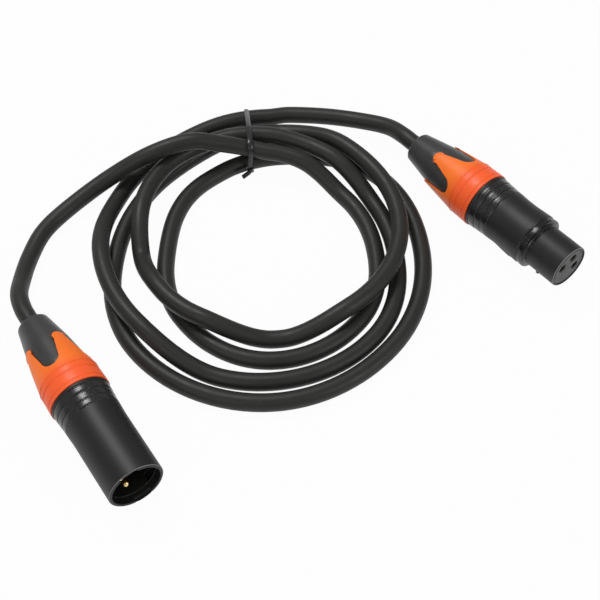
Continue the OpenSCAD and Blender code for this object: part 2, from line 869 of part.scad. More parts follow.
// One insulated conductor, from a solder cup to the end of the jacket.
module conductor(roll, n, cup_back, jacket_at) {
    a = contact_angle(roll, n);
    out = [cos(a), sin(a), 0];
    core_r = 1.4;
    straight = 1.2;
    spread = contact_ring_r - core_r;
    swept_wire([contact_ring_r * out - [0, 0, cup_back - 2 * straight],
                contact_ring_r * out - [0, 0, cup_back],
                (core_r + 0.85 * spread) * out - [0, 0, cup_back + straight],
                (core_r + 0.15 * spread) * out - [0, 0, jacket_at - 2 * straight],
                core_r * out - [0, 0, jacket_at - straight],
                core_r * out - [0, 0, jacket_at - straight / 2],
                core_r * out - [0, 0, jacket_at]],
               conductor_r, conductor_r, conductor_sides, [1, 0, 0]);
}

module male_conductor(n) {
    color("ivory")
        at_male()
            conductor(male_roll, n, male_cup_back,
                      male_len + jacket_front);
}

module female_conductor(n) {
    color("ivory")
        at_female()
            conductor(female_latch_roll + 180, n, socket_back + solder_cup_len,
                      female_len + jacket_front);
}

module male_bushing() {
    color([1, 0.42, 0.14])
        at_male_gland()
            rotate([0, 0, male_petal_roll - petal_seam]) bushing();
}

module female_bushing() {
    color([1, 0.42, 0.14])
        at_female_gland()
            rotate([0, 0, female_petal_roll - petal_seam]) bushing();
}

module male_boot() {
    color([0.22, 0.23, 0.22])
        at_male_gland()
            rotate([0, 0, male_petal_roll - petal_seam]) boot();
}

module female_boot() {
    color([0.22, 0.23, 0.22])
        at_female_gland()
            rotate([0, 0, female_petal_roll - petal_seam]) boot();
}

module male_chuck() {
    color("whitesmoke") at_male_gland() chuck();
}

module female_chuck() {
    color("whitesmoke") at_female_gland() chuck();
}

module male_jacket_end() {
    color([0.2, 0.2, 0.19]) at_male_gland() jacket_end();
}

module female_jacket_end() {
    color([0.2, 0.2, 0.19]) at_female_gland() jacket_end();
}

// ---------------------------------------------------------------- cable

module cable_coil() {
    color([0.22, 0.22, 0.21]) swept(coil_points, cord_r, cord_sides);
}

module female_tail() {
    color([0.22, 0.22, 0.21]) swept(female_tail_points, cord_r, cord_sides);
}

module male_tail() {
    color([0.22, 0.22, 0.21]) swept(male_tail_points, cord_r, cord_sides);
}

// ---------------------------------------------------------------- twist tie

// The tie is flat and stands in an upright plane across the bundle. Its corners
// are the strands it bends round: distance from the hub along that plane, height,
// and the arc of the tie, from level towards the hub over the top.
tie_lap_r = cord_r + tie_thick / 2 + 0.1;
tie_near = [-20.6, 55.7];
tie_lean = 0.09;
tie_corners = [[58.3, height_at(loops) + tie_rise + 0.3, 180, 79],
               [65.4, height_at(1 + tie_turn), 79, 65],
               [80.4, height_at(tie_turn), 65, -90],
               [58.6, height_at(loops - 1 + tie_turn), -90, -175]];
tie_step = 26;

// A point of the tie's plane at y and height z.
function tie_point(y, z) = [tie_near[0] - tie_lean * (y - tie_near[1]), y, z];

function tie_arc(c) =
    let (n = max(1, round(abs(c[3] - c[2]) / tie_step)))
    [for (k = [0 : n])
         let (a = c[2] + (c[3] - c[2]) * k / n)
         tie_point(c[0] + tie_lap_r * cos(a), c[1] + tie_lap_r * sin(a))];

// The two short ends, which cross once and lie back along the bundle.
tie_end_up = [[-25.8, 52.7, 5], [-24.2, 53.3, 5.5], [-22.4, 53.9, 5.9], [-21.1, 54.3, 6.8]];
tie_end_down = [[-20.9, 54, 5.1], [-21.4, 53.1, 4.6], [-22.6, 52.4, 4], [-23.8, 51.9, 3.3]];

tie_points = concat(tie_end_up, [for (c = tie_corners) each tie_arc(c)], tie_end_down);

module twist_tie() {
    color([0.1, 0.1, 0.1])
        swept_wire(tie_points, tie_w / 2, tie_thick / 2, 8, [0, 1, 0]);
}

// ---------------------------------------------------------------- assembly

male_shell();
male_insert();
male_pin(1);  // male_pin_1
male_pin(2);  // male_pin_2
male_pin(3);  // male_pin_3
male_chuck();
male_bushing();
male_boot();
male_jacket_end();
male_conductor(1);  // male_conductor_1
male_conductor(2);  // male_conductor_2
male_conductor(3);  // male_conductor_3
female_shell();
female_insert();
female_socket(1);  // female_socket_1
female_socket(2);  // female_socket_2
female_socket(3);  // female_socket_3
female_latch();
female_latch_pin();
female_latch_spring();
female_chuck();
female_bushing();
female_boot();
female_jacket_end();
female_conductor(1);  // female_conductor_1
female_conductor(2);  // female_conductor_2
female_conductor(3);  // female_conductor_3
male_tail();
cable_coil();
female_tail();
twist_tie();
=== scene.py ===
"""A coiled microphone cable with its two connectors: pieces, finishes and stage.

Everything is in metres in the frame of the solid model, Z up, with the cable
lying on the plane Z = 0.
"""
import math

import bpy
import numpy as np
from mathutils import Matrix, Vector
from bpy.props import FloatProperty, FloatVectorProperty, IntProperty, PointerProperty


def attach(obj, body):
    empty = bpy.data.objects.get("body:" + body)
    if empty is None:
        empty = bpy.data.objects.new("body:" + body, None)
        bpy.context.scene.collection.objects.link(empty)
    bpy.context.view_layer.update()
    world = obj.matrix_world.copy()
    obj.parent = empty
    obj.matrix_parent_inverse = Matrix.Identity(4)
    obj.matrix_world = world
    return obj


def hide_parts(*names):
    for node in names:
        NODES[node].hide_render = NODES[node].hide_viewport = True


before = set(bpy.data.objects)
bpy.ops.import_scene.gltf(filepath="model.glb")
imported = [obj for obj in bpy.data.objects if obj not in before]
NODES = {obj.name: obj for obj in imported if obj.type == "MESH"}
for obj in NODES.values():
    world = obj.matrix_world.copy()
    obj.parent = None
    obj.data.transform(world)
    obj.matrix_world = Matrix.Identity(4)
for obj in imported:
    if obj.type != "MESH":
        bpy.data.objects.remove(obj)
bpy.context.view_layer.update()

bl_info = {
    "name": "XLR Cable Coil",
    "version": (1, 0, 0),
    "blender": (4, 5, 0),
    "location": "View3D > Sidebar > Cable Coil",
    "description": "Makes a tied coil of microphone cable with its two connectors",
    "category": "Add Mesh",
}

ROOT = "cable"
MM = 0.001

# The cable's route as in the solid model, in millimetres, degrees and loops.
# A crossing is the middle and the half length of its hump, in loops.
JACKET_D = 6.2
HUB = np.array([-14.4, 18.7])
LOOPS = 4
START_ANGLE = 90.0
REACHES_PER_LOOP = 8
COIL_REACH = np.array([
    63, 60, 58, 56.5, 56.5, 53, 45, 43.5,
    47, 49.5, 44.5, 42, 39.5, 42, 46.5, 50,
    54.5, 50.5, 52.5, 61.5, 64.5, 60, 54.5, 52,
    42, 38, 35, 41.5, 48, 45, 38, 36.5,
    38.5,
])
CROSSINGS = [(0.32, 0.04), (1.06, 0.14), (1.375, 0.035), (1.765, 0.145), (4.0, 0.04)]
CROSSING_RAMP = 0.1
CROSSING_RISE = 7.0
TIE_TURN = 0.02
TIE_RISE = 1.1
TIE_HALF = 0.015
TIE_RAMP = 0.06
FEMALE_ROUTE = [(30.1, 72.7, 8.3), (18.6, 78.7, 5.6), (5.6, 81.7, 4.7)]
MALE_ROUTE = [
    (-30.9, 57.9, 14.7), (-42.4, 56.5, 17.6), (-56.4, 52.5, 15.3), (-71.4, 47, 8.8),
    (-85.9, 36.7, 3.9), (-93.9, 26.2, 3.2), (-97.4, 14.7, 3.5), (-98.5, 2.9, 5.6),
    (-97.8, -6.8, 9),
]

# How finely the cable is drawn: points per loop, points per stretch of a free end,
# and millimetres between the points of the finished line. The free ends leave the
# coil in the direction of the solid model's coarser line.
LOOP_POINTS = 120
SOLID_LOOP_POINTS = 24
ROUTE_POINTS = 12
LINE_GAP = 1.6
# A direction that the cable doesn't start in: the first side vector is square to it.
SIDE_SEED = (0.3, 0.2, 0.93)
# The rings of a tube's domed end, in degrees from its wall, and the dome's depth as
# a share of the tube's radius.
CAP_ANGLES = (75.0, 50.0, 25.0)
CAP_DEPTH = 0.35

# Where the connectors lie, in millimetres and degrees.
AXIS_Z = 10.6
MALE_PLACE = (-52.5, -80.7)
MALE_HEADING = -57.3
MALE_LEN = 37.2
FEMALE_PLACE = (89.5, 4.1)
FEMALE_HEADING = -49.0
FEMALE_LEN = 39.9
GLAND_LEN = 34.8
CONNECTORS = (("male", MALE_PLACE, MALE_HEADING, MALE_LEN),
              ("female", FEMALE_PLACE, FEMALE_HEADING, FEMALE_LEN))
SIDES = ("male", "female")
CONTACTS = (1, 2, 3)

# Zones of the finishes, in millimetres. Each pair is where a zone's edge starts and
# where it is full. The grip and the band are measured forward from the shell's rear
# edge; the rim's painted highlight, the collar and the painted shade in the holes back
# from the mating face; and the width of the rim's painted highlight inward from its
# radius.
GRIP_REAR = (0.8, 1.1)
GRIP_FRONT = (9.4, 9.1)
LIP_HIGHLIGHT_DEPTH = (0.5, 0.35)
RIM_RADIUS = {"male": 9.5, "female": 8.0}
RIM_HIGHLIGHT_WIDTH = (0.3, 0.2)
COLLAR_REAR = (16.6, 15.9)
COLLAR_FRONT = (12.4, 12.7)
COLLAR_GLOSS = {"male": 0.0, "female": 1.0}
HOLE_SHADE_DEPTH = (0.9, 0.45)
BAND = (-11, -7)

# How much lighter or darker than their own colour some places are: random patches on
# the grip, a painted highlight on the rim of the mouth and painted shade deep in the
# holes; and how much rougher or smoother than the setting the plain and the rubbed
# coating are.
RIB_TINTS = (0.6, 1.5)
LIP_HIGHLIGHT_TINT = 14.0
HOLE_SHADE_TINT = 0.1
PLAIN_ROUGHER = 0.19
RUBBED_SMOOTHER = 0.07

# Most of a noise's values lie in the first span; the second gives harder patches.
NOISE_SPAN = (0.3, 0.7)
PATCH_SPAN = (0.35, 0.65)

# The colour sockets of a Mix node, which has a set of sockets for each data type.
MIX_FIRST, MIX_SECOND, MIX_RESULT = 6, 7, 2

# Rounded corners in millimetres, the angle at which a corner counts as one, and the
# distance in metres at which the solids' loose triangles are joined.
CORNER = 0.12
INSERT_CORNER = 0.08
CORNER_SEGMENTS = 2
CORNER_ANGLE = math.radians(28)
WELD_DISTANCE = 0.000001

# The stage: the floor in millimetres, then the lamps' name, place and width in
# metres and power in watts, and the camera's sensor in millimetres and clipping.
FLOOR_HALF = 3000.0
FLOOR_DROP = 0.02
LAMPS = (
    ("Key", (-0.34, 0.44, 1.06), 0.36, 6.8),
    ("Fill", (0.66, -0.38, 0.45), 0.3, 1.7),
    ("Front", (-0.45, -0.6, 0.5), 0.5, 1.2),
)
SENSOR_WIDTH = 36.0
CLIP_START, CLIP_END = 0.01, 20.0
WHITE = (1, 1, 1, 1)


# --------------------------------------------------------------------- sizes


class CableSettings(bpy.types.PropertyGroup):
    """Size and finish of the cable."""

    diameter: FloatProperty(
        name="Diameter", description="Diameter of the cable's jacket",
        default=JACKET_D * MM, subtype="DISTANCE", unit="LENGTH")
    sides: IntProperty(
        name="Sides", description="Number of points round the jacket", default=32)
    colour: FloatVectorProperty(
        name="Jacket", description="Colour of the jacket", subtype="COLOR",
        default=(0.02, 0.02, 0.0188), min=0, max=1)
    roughness: FloatProperty(
        name="Roughness", description="Roughness of the jacket", default=0.46)


class ShellSettings(bpy.types.PropertyGroup):
    """Finish of the two metal shells, of their inserts and of the latch."""

    colour: FloatVectorProperty(
        name="Shell", description="Colour of the black coating", subtype="COLOR",
        default=(0.005, 0.005, 0.005), min=0, max=1)
    roughness: FloatProperty(
        name="Roughness", description="Roughness of the coating", default=0.3)
    # The grip's lighter colour is partly its rubbed finish and partly a painted
    # highlight; the rim's painted highlight is a tint of it too.
    rib_tone_and_highlight: FloatVectorProperty(
        name="Grip", description="Colour of the rubbed ribs of the grip",
        subtype="COLOR", default=(0.014, 0.014, 0.014), min=0, max=1)
    insert_colour: FloatVectorProperty(
        name="Insert", description="Colour of the moulded inserts", subtype="COLOR",
        default=(0.05, 0.05, 0.049), min=0, max=1)


class GlandSettings(bpy.types.PropertyGroup):
    """Colours of the bushings and boots."""

    petal_colour: FloatVectorProperty(
        name="Petals", description="Colour of the petals", subtype="COLOR",
        default=(1.0, 0.185, 0.018), min=0, max=1)
    band_colour: FloatVectorProperty(
        name="Band", description="Colour of the ring at the shell", subtype="COLOR",
        default=(1.0, 0.125, 0.026), min=0, max=1)
    boot_colour: FloatVectorProperty(
        name="Boot", description="Colour of the rubber boots", subtype="COLOR",
        default=(0.025, 0.026, 0.025), min=0, max=1)


class ContactSettings(bpy.types.PropertyGroup):
    """Finish of the contacts."""

    colour: FloatVectorProperty(
        name="Plating", description="Colour of the plated contacts", subtype="COLOR",
        default=(0.9, 0.66, 0.3), min=0, max=1)
    roughness: FloatProperty(
        name="Roughness", description="Roughness of the plating", default=0.2)


class StageSettings(bpy.types.PropertyGroup):
    """Floor, lights and camera."""

    floor_colour: FloatVectorProperty(
        name="Floor", description="Colour of the floor", subtype="COLOR",
        default=(0.6, 0.6, 0.6), min=0, max=1)
    floor_glow: FloatProperty(
        name="Floor Glow", description="Share of plain white in the floor",
        default=0.97)
    world_level: FloatProperty(
        name="Ambient", description="Level of the even light", default=0.4)
    camera_place: FloatVectorProperty(
        name="Camera", description="Place of the camera", subtype="TRANSLATION",
        default=(-2.717 * MM, -281.83 * MM, 376.8 * MM))
    camera_tilt: FloatProperty(
        name="Tilt", description="Tilt of the camera from straight down",
        default=math.radians(36.61), subtype="ANGLE")
    camera_lens: FloatProperty(
        name="Lens", description="Focal length of the camera", default=81.37)


# --------------------------------------------------------------------- tools


def ease(t):
    """Smooth step: 3t^2 - 2t^3 on t held between 0 and 1."""
    t = np.clip(t, 0.0, 1.0)
    return t * t * (3.0 - 2.0 * t)


def bump(u, middle, half, ramp):
    """1 within `half` of `middle`, eased to 0 over `ramp` on either side."""
    return np.minimum(ease((u - middle + half + ramp) / ramp),
                      ease((middle + half + ramp - u) / ramp))


def unit(v):
    """A vector divided by its own length."""
    return v / np.linalg.norm(v)


def through(a, b, c, d, t):
    """Catmull-Rom curve from b to c at t: a cubic with slopes (c-a)/2 and (d-b)/2."""
    return b + 0.5 * t * (c - a + t * (2 * a - 5 * b + 4 * c - d
                                       + t * (3 * (b - c) + d - a)))


def coil_line(count):
    """The coil's middle line: reach from the hub through the listed eighths of a
    turn, and height as the jacket's radius plus a hump at each crossing and a
    small rise over the tie's strip."""
    u = np.linspace(0.0, LOOPS, count)
    last = len(COIL_REACH) - 1
    k = np.minimum(np.floor(u * REACHES_PER_LOOP).astype(int), last - 1)
    t = u * REACHES_PER_LOOP - k
    near = (COIL_REACH[np.clip(k + step, 0, last)] for step in (-1, 0, 1, 2))
    reach = through(*near, t)
    hump = np.max([bump(u, m, h, CROSSING_RAMP) for m, h in CROSSINGS], axis=0)
    tied = np.max([bump(u, n + TIE_TURN, TIE_HALF, TIE_RAMP)
                   for n in range(LOOPS + 1)], axis=0)
    a = np.radians(START_ANGLE + 360.0 * u)
    return np.stack([HUB[0] + reach * np.cos(a), HUB[1] + reach * np.sin(a),
                     JACKET_D / 2 + CROSSING_RISE * hump + TIE_RISE * tied], axis=1)


def smooth_line(points, steps):
    """Catmull-Rom curve through the inner points; the outer two only steer it."""
    p = np.asarray(points, float)
    t = np.arange(steps)[None, :, None] / steps
    a, b, c, d = (p[i:len(p) - 3 + i][:, None, :] for i in range(4))
    return np.vstack([through(a, b, c, d, t).reshape(-1, 3), p[-2]])


def heading_vector(heading):
    """Unit vector in plan at `heading` degrees from +X."""
    angle = math.radians(heading)
    return np.array([math.cos(angle), math.sin(angle), 0.0])


def on_axis(place, heading, back):
    """Point on a connector's axis, `back` millimetres behind its mating face."""
    return np.array([place[0], place[1], AXIS_Z]) - back * heading_vector(heading)


def tail_line(start, start_dir, route, end, end_dir):
    """A free end of the cable: one diameter straight out of each neighbour and a
    smooth curve through the route between them."""
    a, b = start + JACKET_D * start_dir, end + JACKET_D * end_dir
    curve = smooth_line([start, a, *route, b, end], ROUTE_POINTS)
    return np.vstack([start, curve, end])


def even_line(points, step):
    """The same line with points a fixed distance apart along it."""
    s = np.r_[0.0, np.cumsum(np.linalg.norm(np.diff(points, axis=0), axis=1))]
    n = max(2, int(round(s[-1] / step)) + 1)
    t = np.linspace(0.0, s[-1], n)
    return np.stack([np.interp(t, s, points[:, i]) for i in range(3)], axis=1)


def cable_line():
    """The whole cable's middle line in millimetres, from the boot of the female
    connector through the coil to the boot of the male connector."""
    coarse = coil_line(LOOPS * SOLID_LOOP_POINTS + 1)
    coil = coil_line(LOOPS * LOOP_POINTS + 1)
    first = tail_line(on_axis(FEMALE_PLACE, FEMALE_HEADING, FEMALE_LEN + GLAND_LEN),
                      -heading_vector(FEMALE_HEADING), FEMALE_ROUTE, coil[0],
                      unit(coarse[0] - coarse[1]))
    last = tail_line(coil[-1], unit(coarse[-1] - coarse[-2]), MALE_ROUTE,
                     on_axis(MALE_PLACE, MALE_HEADING, MALE_LEN + GLAND_LEN),
                     -heading_vector(MALE_HEADING))
    return even_line(np.vstack([first[:-1], coil, last[1:]]), LINE_GAP)


def line_frames(p):
    """Tangents of a line and two unit vectors square to it, carried along
    without twist: each side vector is the one before laid square to the line."""
    t = np.gradient(p, axis=0)
    t /= np.linalg.norm(t, axis=1)[:, None]
    side = np.empty_like(t)
    s = unit(np.cross(SIDE_SEED, t[0]))
    for i, ti in enumerate(t):
        s = unit(s - (s @ ti) * ti)
        side[i] = s
    return t, side, np.cross(t, side)


def tube(name, points, radius, sides):
    """A closed round tube: point + r(cos a side + sin a up) for angle a round the
    line. Each end is a flat dome of three rings: at an angle c the ring's radius is
    r cos c, and it lies r sin c times the dome's depth past the line's end."""
    p = np.asarray(points, float)
    t, side, up = line_frames(p)
    cap = np.radians(CAP_ANGLES)
    r = radius * np.r_[np.cos(cap), np.ones(len(p)), np.cos(cap[::-1])]
    head = p[0] - np.outer(np.sin(cap) * radius * CAP_DEPTH, t[0])
    foot = p[-1] + np.outer(np.sin(cap[::-1]) * radius * CAP_DEPTH, t[-1])
    p = np.vstack([head, p, foot])
    side, up = (np.vstack([[v[0]] * len(cap), v, [v[-1]] * len(cap)])
                for v in (side, up))
    a = np.linspace(0.0, 2 * np.pi, sides, endpoint=False)
    ring = (np.cos(a)[None, :, None] * side[:, None, :]
            + np.sin(a)[None, :, None] * up[:, None, :])
    v = (p[:, None, :] + r[:, None, None] * ring).reshape(-1, 3)
    n = len(p)
    i, k = np.meshgrid(np.arange(n - 1), np.arange(sides), indexing="ij")
    j = (k + 1) % sides
    quads = np.stack([i * sides + k, i * sides + j, (i + 1) * sides + j,
                      (i + 1) * sides + k], axis=-1).reshape(-1, 4)
    ends = [list(range(sides))[::-1], [(n - 1) * sides + m for m in range(sides)]]
    return mesh_piece(name, v, quads.tolist() + ends)


def placed(name, data):
    """A new object in the scene that shows `data`."""
    made = bpy.data.objects.new(name, data)
    bpy.context.scene.collection.objects.link(made)
    return made


def mesh_piece(name, vertices, faces):
    """A smooth-shaded object at the origin, from vertices in millimetres."""
    mesh = bpy.data.meshes.new(name)
    mesh.from_pydata((np.asarray(vertices) * MM).tolist(), [], faces)
    mesh.polygons.foreach_set("use_smooth", np.ones(len(mesh.polygons), bool))
    mesh.update()
    mesh.validate()
    return placed(name, mesh)


# ----------------------------------------------------------------- finishes


class Finish:
    """Builds one material's nodes on Object coordinates."""

    def __init__(self, name):
        self.material = bpy.data.materials.new(name)
        self.material.use_nodes = True
        self.tree = self.material.node_tree
        self.shader = self.tree.nodes["Principled BSDF"]
        self.place = self.node("ShaderNodeTexCoord").outputs["Object"]

    def node(self, kind, **values):
        """A new node with some of its properties set."""
        made = self.tree.nodes.new(kind)
        for key, value in values.items():
            setattr(made, key, value)
        return made

    def link(self, source, target):
        """Joins an output to an input."""
        self.tree.links.new(source, target)

    def on_connector(self, place, heading, length):
        """A connector's own coordinates: +X along its axis towards the mating face,
        from the rear edge of its shell."""
        mapping = self.node("ShaderNodeMapping", vector_type="TEXTURE")
        origin = on_axis(place, heading, length)
        mapping.inputs["Location"].default_value = [x * MM for x in origin]
        mapping.inputs["Rotation"].default_value = (0, 0, math.radians(heading))
        self.link(self.place, mapping.inputs["Vector"])
        return mapping.outputs["Vector"]

    def along(self, vector):
        """The X of a vector socket."""
        made = self.node("ShaderNodeSeparateXYZ")
        self.link(vector, made.inputs["Vector"])
        return made.outputs["X"]

    def reach(self, vector):
        """Distance from the X axis of a vector socket."""
        flat = self.node("ShaderNodeVectorMath", operation="MULTIPLY")
        flat.inputs[1].default_value = (0, 1, 1)
        self.link(vector, flat.inputs[0])
        made = self.node("ShaderNodeVectorMath", operation="LENGTH")
        self.link(flat.outputs["Vector"], made.inputs[0])
        return made.outputs["Value"]

    def combine(self, operation, first, second):
        """A Math node's result for two sockets."""
        made = self.node("ShaderNodeMath", operation=operation)
        self.link(first, made.inputs[0])
        self.link(second, made.inputs[1])
        return made.outputs["Value"]

    def noise(self, scale, detail=3.0, roughness=0.5):
        """Noise on the object's coordinates."""
        made = self.node("ShaderNodeTexNoise")
        made.inputs["Scale"].default_value = scale
        made.inputs["Detail"].default_value = detail
        made.inputs["Roughness"].default_value = roughness
        self.link(self.place, made.inputs["Vector"])
        return made.outputs["Fac"]

    def ramp(self, value, low, high, out_low=0.0, out_high=1.0):
        """A socket's span from `low` to `high` spread over another span and held
        within it."""
        made = self.node("ShaderNodeMapRange", clamp=True)
        made.inputs["From Min"].default_value = low
        made.inputs["From Max"].default_value = high
        made.inputs["To Min"].default_value = out_low
        made.inputs["To Max"].default_value = out_high
        self.link(value, made.inputs["Value"])
        return made.outputs["Result"]

    def edge(self, distance, start, full, most=1.0):
        """The edge of a zone: 0 before `start` and `most` from `full` on, both in
        millimetres."""
        return self.ramp(distance, start * MM, full * MM, 0.0, most)

    def drift(self, scale, detail=3.0, roughness=0.5, low=0.0, high=1.0):
        """Slow noise that runs from `low` to `high`."""
        return self.ramp(self.noise(scale, detail, roughness), *NOISE_SPAN, low, high)

    def mix(self, factor, first, second):
        """Colour between two colours or sockets by a factor socket."""
        made = self.node("ShaderNodeMix", data_type="RGBA")
        self.link(factor, made.inputs["Factor"])
        for number, value in ((MIX_FIRST, first), (MIX_SECOND, second)):
            if isinstance(value, bpy.types.NodeSocket):
                self.link(value, made.inputs[number])
            else:
                made.inputs[number].default_value = (*value, 1.0)
        return made.outputs[MIX_RESULT]

    def shade(self, factor, colour, dark, light):
        """A colour between a darker and a lighter tint of itself."""
        return self.mix(factor, tint(colour, dark), tint(colour, light))

    def bumps(self, heights, distance):
        """Adds a bump of `distance` metres from one height socket."""
        made = self.node("ShaderNodeBump")
        made.inputs["Strength"].default_value = 1.0
        made.inputs["Distance"].default_value = distance
        self.link(heights, made.inputs["Height"])
        previous = self.shader.inputs["Normal"].links
        if previous:
            self.link(previous[0].from_socket, made.inputs["Normal"])
        self.link(made.outputs["Normal"], self.shader.inputs["Normal"])

    def put(self, **values):
        """Constants on the shader's own sockets."""
        for key, value in values.items():
            self.shader.inputs[key.replace("_", " ")].default_value = value

    def colour(self, socket):
        """Links the shader's colour."""
        self.link(socket, self.shader.inputs["Base Color"])

    def rough(self, socket):
        """Links the shader's roughness."""
        self.link(socket, self.shader.inputs["Roughness"])


def tint(colour, factor):
    """A colour made lighter or darker by a factor."""
    return tuple(min(1.0, c * factor) for c in colour)


def moulded(name, colour, roughness, grain=1500.0, depth=0.00002, spread=0.12, **more):
    """A moulded, coated or plated surface: slow colour drift, fine grain in the bump
    and a little change of gloss. `more` are constants on the shader's sockets."""
    made = Finish(name)
    made.colour(made.shade(made.drift(90.0, 4.0, 0.6), colour, 1 - spread, 1 + spread))
    made.rough(made.drift(260.0, 3.0, 0.6, roughness * 0.88, roughness * 1.12))
    made.bumps(made.noise(grain, 3.0, 0.6), depth)
    made.put(**more)
    return made


def dress(names, finish, corner=0.0):
    """Gives CAD nodes their finish, with smooth shading between flat faces. With a
    `corner` in millimetres their corners are rounded by that much, so that they
    catch the light."""
    for name in names:
        node = NODES[name]
        node.data.materials.clear()
        node.data.materials.append(finish.material)
        node.data.polygons.foreach_set(
            "use_smooth", np.ones(len(node.data.polygons), bool))
        weld = node.modifiers.new("Weld", "WELD")
        weld.merge_threshold = WELD_DISTANCE
        if corner:
            bevel = node.modifiers.new("Bevel", "BEVEL")
            bevel.width = corner * MM
            bevel.segments = CORNER_SEGMENTS
            bevel.limit_method = "ANGLE"
            bevel.angle_limit = CORNER_ANGLE
            bevel.use_clamp_overlap = False
            node.modifiers.new("Weighted Normal", "WEIGHTED_NORMAL")
        else:
            split = node.modifiers.new("Edge Split", "EDGE_SPLIT")
            split.split_angle = CORNER_ANGLE


# ---------------------------------------------------------------- operators


class XLR_OT_cable(bpy.types.Operator):
    """Make the cable from one boot through the coil to the other."""

    bl_idname = "xlr.cable"
    bl_label = "Cable"

    def execute(self, context):
        s = context.scene.xlr_cable
        line = cable_line()
        piece = tube("Cable", line, s.diameter / MM / 2, s.sides)
        made = Finish("Cable Jacket")
        made.colour(made.shade(made.drift(60.0, 4.0, 0.65), s.colour, 0.9, 1.12))
        made.rough(made.drift(240.0, 4.0, 0.6, s.roughness * 0.85, s.roughness * 1.15))
        made.bumps(made.noise(1400.0, 3.0, 0.6), 0.00003)
        made.bumps(made.noise(220.0, 2.0, 0.5), 0.00006)
        made.put(Specular_IOR_Level=0.3)
        piece.data.materials.append(made.material)
        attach(piece, ROOT)
        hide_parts("male_tail", "cable_coil", "female_tail")
        dress([f"{side}_jacket_end" for side in SIDES],
              moulded("Jacket Inside Boot", s.colour, s.roughness))
        dress([f"{side}_conductor_{n}" for side in SIDES for n in CONTACTS],
              moulded("Core Insulation", (0.75, 0.7, 0.58), 0.45))
        return {"FINISHED"}


class XLR_OT_tie(bpy.types.Operator):
    """Finish the wire tie round the bundle."""

    bl_idname = "xlr.tie"
    bl_label = "Twist Tie"

    def execute(self, context):
        dress(["twist_tie"],
              moulded("Tie Coating", (0.012, 0.012, 0.012), 0.32, depth=0.00001))
        return {"FINISHED"}


class XLR_OT_shells(bpy.types.Operator):
    """Finish the two shells, their inserts and the latch."""

    bl_idname = "xlr.shells"
    bl_label = "Shells"

    def execute(self, context):
        s = context.scene.xlr_shell
        for side, place, heading, length in CONNECTORS:
            dress([f"{side}_shell"], self.coating(s, side, place, heading, length),
                  CORNER)
            dress([f"{side}_insert"], self.plastic(s, side, place, heading, length),
                  INSERT_CORNER)
        dress(["female_latch"], moulded("Latch Coating", s.colour, s.roughness + 0.08))
        return {"FINISHED"}

    def coating(self, s, side, place, heading, length):
        """Black coating, glossier on the rubbed grip and lighter there, partly for its
        rubbed finish and partly as a painted highlight; glossier on the female collar;
        and a painted highlight as a light ring on the rim of the mouth."""
        made = Finish(f"Black Coating {side}")
        local = made.on_connector(place, heading, length)
        along, reach = made.along(local), made.reach(local)
        rim = RIM_RADIUS[side]
        grip = made.combine("MULTIPLY", made.edge(along, *GRIP_REAR),
                            made.edge(along, *GRIP_FRONT))
        # Painted highlight: a light ring on the rim of the mouth, close to the mating
        # face.
        lip_highlight = made.combine(
            "MULTIPLY", made.edge(along, *(length - x for x in LIP_HIGHLIGHT_DEPTH)),
            made.edge(reach, *(rim - x for x in RIM_HIGHLIGHT_WIDTH)))
        collar = made.combine(
            "MULTIPLY", made.edge(along, *(length - x for x in COLLAR_REAR)),
            made.edge(along, *(length - x for x in COLLAR_FRONT),
                      COLLAR_GLOSS[side]))
        body = made.shade(made.drift(90.0, 4.0, 0.6), s.colour, 0.8, 1.2)
        # The ribs of the grip: random lighter patches, and a colour lighter than the
        # body's that is partly a painted highlight.
        rib_and_highlight = made.shade(made.ramp(made.noise(1300.0, 4.0, 0.7), *PATCH_SPAN),
                         s.rib_tone_and_highlight, *RIB_TINTS)
        made.colour(made.mix(lip_highlight, made.mix(grip, body, rib_and_highlight),
                             tint(s.rib_tone_and_highlight, LIP_HIGHLIGHT_TINT)))
        made.rough(made.ramp(made.combine("MAXIMUM", grip, collar), 0.0, 1.0,
                             s.roughness + PLAIN_ROUGHER,
                             s.roughness - RUBBED_SMOOTHER))
        made.bumps(made.noise(2600.0, 3.0, 0.6), 0.00001)
        made.bumps(made.combine("MULTIPLY", grip, made.noise(1700.0, 4.0, 0.75)),
                   0.00003)
        made.put(Specular_IOR_Level=0.45)
        return made

    def plastic(self, s, side, place, heading, length):
        """Moulded plastic with painted shade that darkens it deep inside the holes of
        the mating face.
        """
        made = moulded(f"Insert Plastic {side}", s.insert_colour, 0.5, grain=1800.0)
        along = made.along(made.on_connector(place, heading, length))
        # Painted shade: the mask is 0 deep in the holes, where the plastic is darkened,
        # and 1 at the mating face.
        face = made.edge(along, *(length - x for x in HOLE_SHADE_DEPTH))
        plain = made.shader.inputs["Base Color"].links[0].from_socket
        made.colour(made.mix(face, tint(s.insert_colour, HOLE_SHADE_TINT), plain))
        return made


